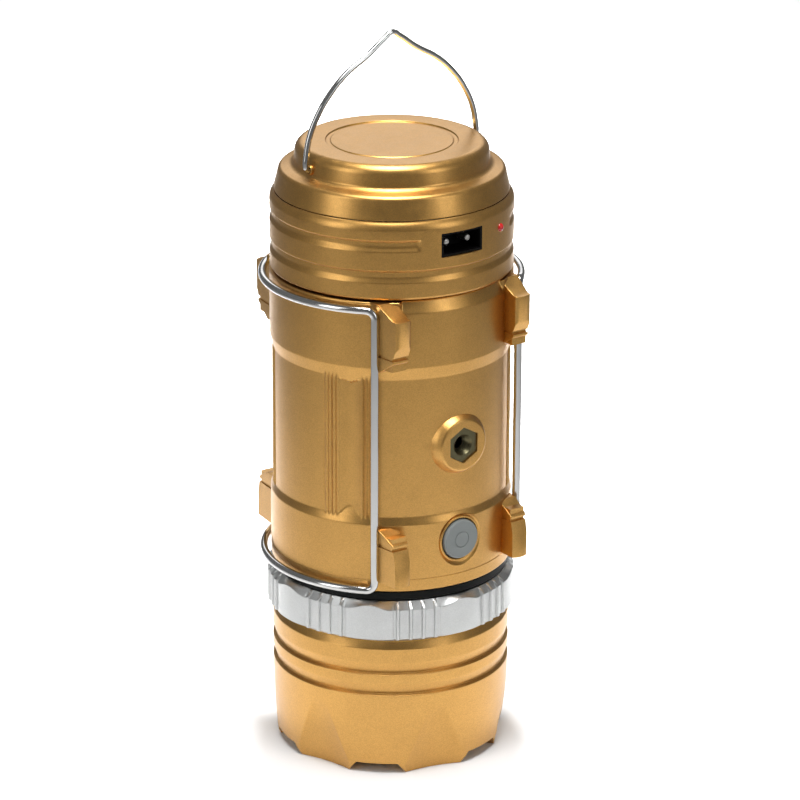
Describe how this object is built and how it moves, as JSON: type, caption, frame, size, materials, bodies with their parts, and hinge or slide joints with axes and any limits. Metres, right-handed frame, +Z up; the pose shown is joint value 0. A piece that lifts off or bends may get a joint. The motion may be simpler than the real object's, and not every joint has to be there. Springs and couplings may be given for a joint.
{
  "type": "camping lantern with torch foot",
  "caption": "Pull-up camping lantern with a wire bail, two swinging wire side frames, a side tripod nut, a push button and a focusing torch in its toothed foot.",
  "frame": {"origin": "on the body's axis, on the plane of the bezel teeth that the lantern stands on", "axes": "+Z up the body's axis, towards the bail; -Y towards the button, nut and inlet; +X to the right when facing them"},
  "size_m": [0.0918, 0.0866, 0.2566],
  "materials": {
    "gold_paint": "satin metallic gold paint over moulded plastic",
    "silver_paint": "satin metallic silver paint over moulded plastic",
    "bright_wire": "bright chromed steel wire",
    "nut_metal": "dull zinc-plated brass",
    "grey_silicone": "matte moulded silicone",
    "black_rubber": "matte black rubber",
    "black_plastic": "fine-textured black plastic",
    "white_plastic": "matte white plastic",
    "frosted_plastic": "clear moulded plastic, lightly frosted",
    "clear_lens": "polished clear acrylic",
    "contact_metal": "nickel-plated steel",
    "screw_steel": "zinc-plated steel",
    "circuit_board": "green solder mask",
    "aluminium_sink": "turned aluminium",
    "mirror_plastic": "vacuum-metallised plastic",
    "led_yellow": "phosphor under clear silicone",
    "led_red": "red tinted epoxy",
    "cell_wrap": "shrink sleeve over a steel can",
    "capacitor_sleeve": "printed sleeve over aluminium"
  },
  "bodies": {
    "root": {"casing": "gold_paint", "guide_ring": "white_plastic", "tripod_nut": "nut_metal", "push_switch": "black_plastic", "switch_board": "circuit_board", "chassis": "white_plastic", "base_screws": "screw_steel", "battery_cell": "cell_wrap", "battery_tabs": "contact_metal", "battery_cradles": "white_plastic", "torch_driver": "circuit_board", "gasket_ring": "black_rubber", "torch_core": "black_plastic", "heat_sink": "aluminium_sink", "torch_board": "aluminium_sink", "torch_led": "led_yellow", "torch_head": "gold_paint"},
    "rising_part": {"ring_housing": "gold_paint", "top_cap": "gold_paint", "cap_screws": "screw_steel", "inlet_body": "black_plastic", "inlet_pins": "contact_metal", "charge_lamp": "led_red", "charge_board": "circuit_board", "capacitor": "capacitor_sleeve", "diffuser": "frosted_plastic", "slider_ring": "white_plastic", "lamp_column": "white_plastic", "lamp_chips": "led_yellow", "lamp_reflector": "mirror_plastic"},
    "bail_wire": {"bail": "bright_wire"},
    "left_gate": {"left_frame": "bright_wire"},
    "right_gate": {"right_frame": "bright_wire"},
    "push_button": {"button": "grey_silicone"},
    "turning_ring": {"focus_ring": "silver_paint"},
    "sliding_lens": {"lens_carrier": "black_plastic", "lens": "clear_lens", "lens_retainer": "black_plastic"}
  },
  "joints": [
    {"name": "lantern_lift", "type": "slide", "parent": "root", "child": "rising_part", "axis": [0, 0, 1], "range_m": [0, 0.0645]},
    {"name": "bail_swing", "type": "hinge", "parent": "rising_part", "child": "bail_wire", "pos_m": [0, 0, 0.2128], "axis": [1, 0, 0], "range_deg": [-90, 90]},
    {"name": "left_frame_swing", "type": "hinge", "parent": "root", "child": "left_gate", "pos_m": [-0.02389, 0.0376, 0.12], "axis": [0, 0, -1], "range_deg": [0, 110]},
    {"name": "right_frame_swing", "type": "hinge", "parent": "root", "child": "right_gate", "pos_m": [0.02389, 0.0376, 0.12], "axis": [0, 0, 1], "range_deg": [0, 110]},
    {"name": "button_press", "type": "slide", "parent": "root", "child": "push_button", "axis": [0, 1, 0], "range_m": [0, 0.0012], "stiffness_N_per_m": 900, "springref_m": -0.0006},
    {"name": "focus_turn", "type": "hinge", "parent": "root", "child": "turning_ring", "pos_m": [0, 0, 0.058], "axis": [0, 0, 1], "range_deg": [0, 100]},
    {"name": "lens_slide", "type": "slide", "parent": "root", "child": "sliding_lens", "axis": [0, 0, -1], "range_m": [0, 0.0075]}
  ],
  "couplings": [
    {"joint": "lens_slide", "follows": "focus_turn", "m_per_rad": 0.0042972}
  ]
}
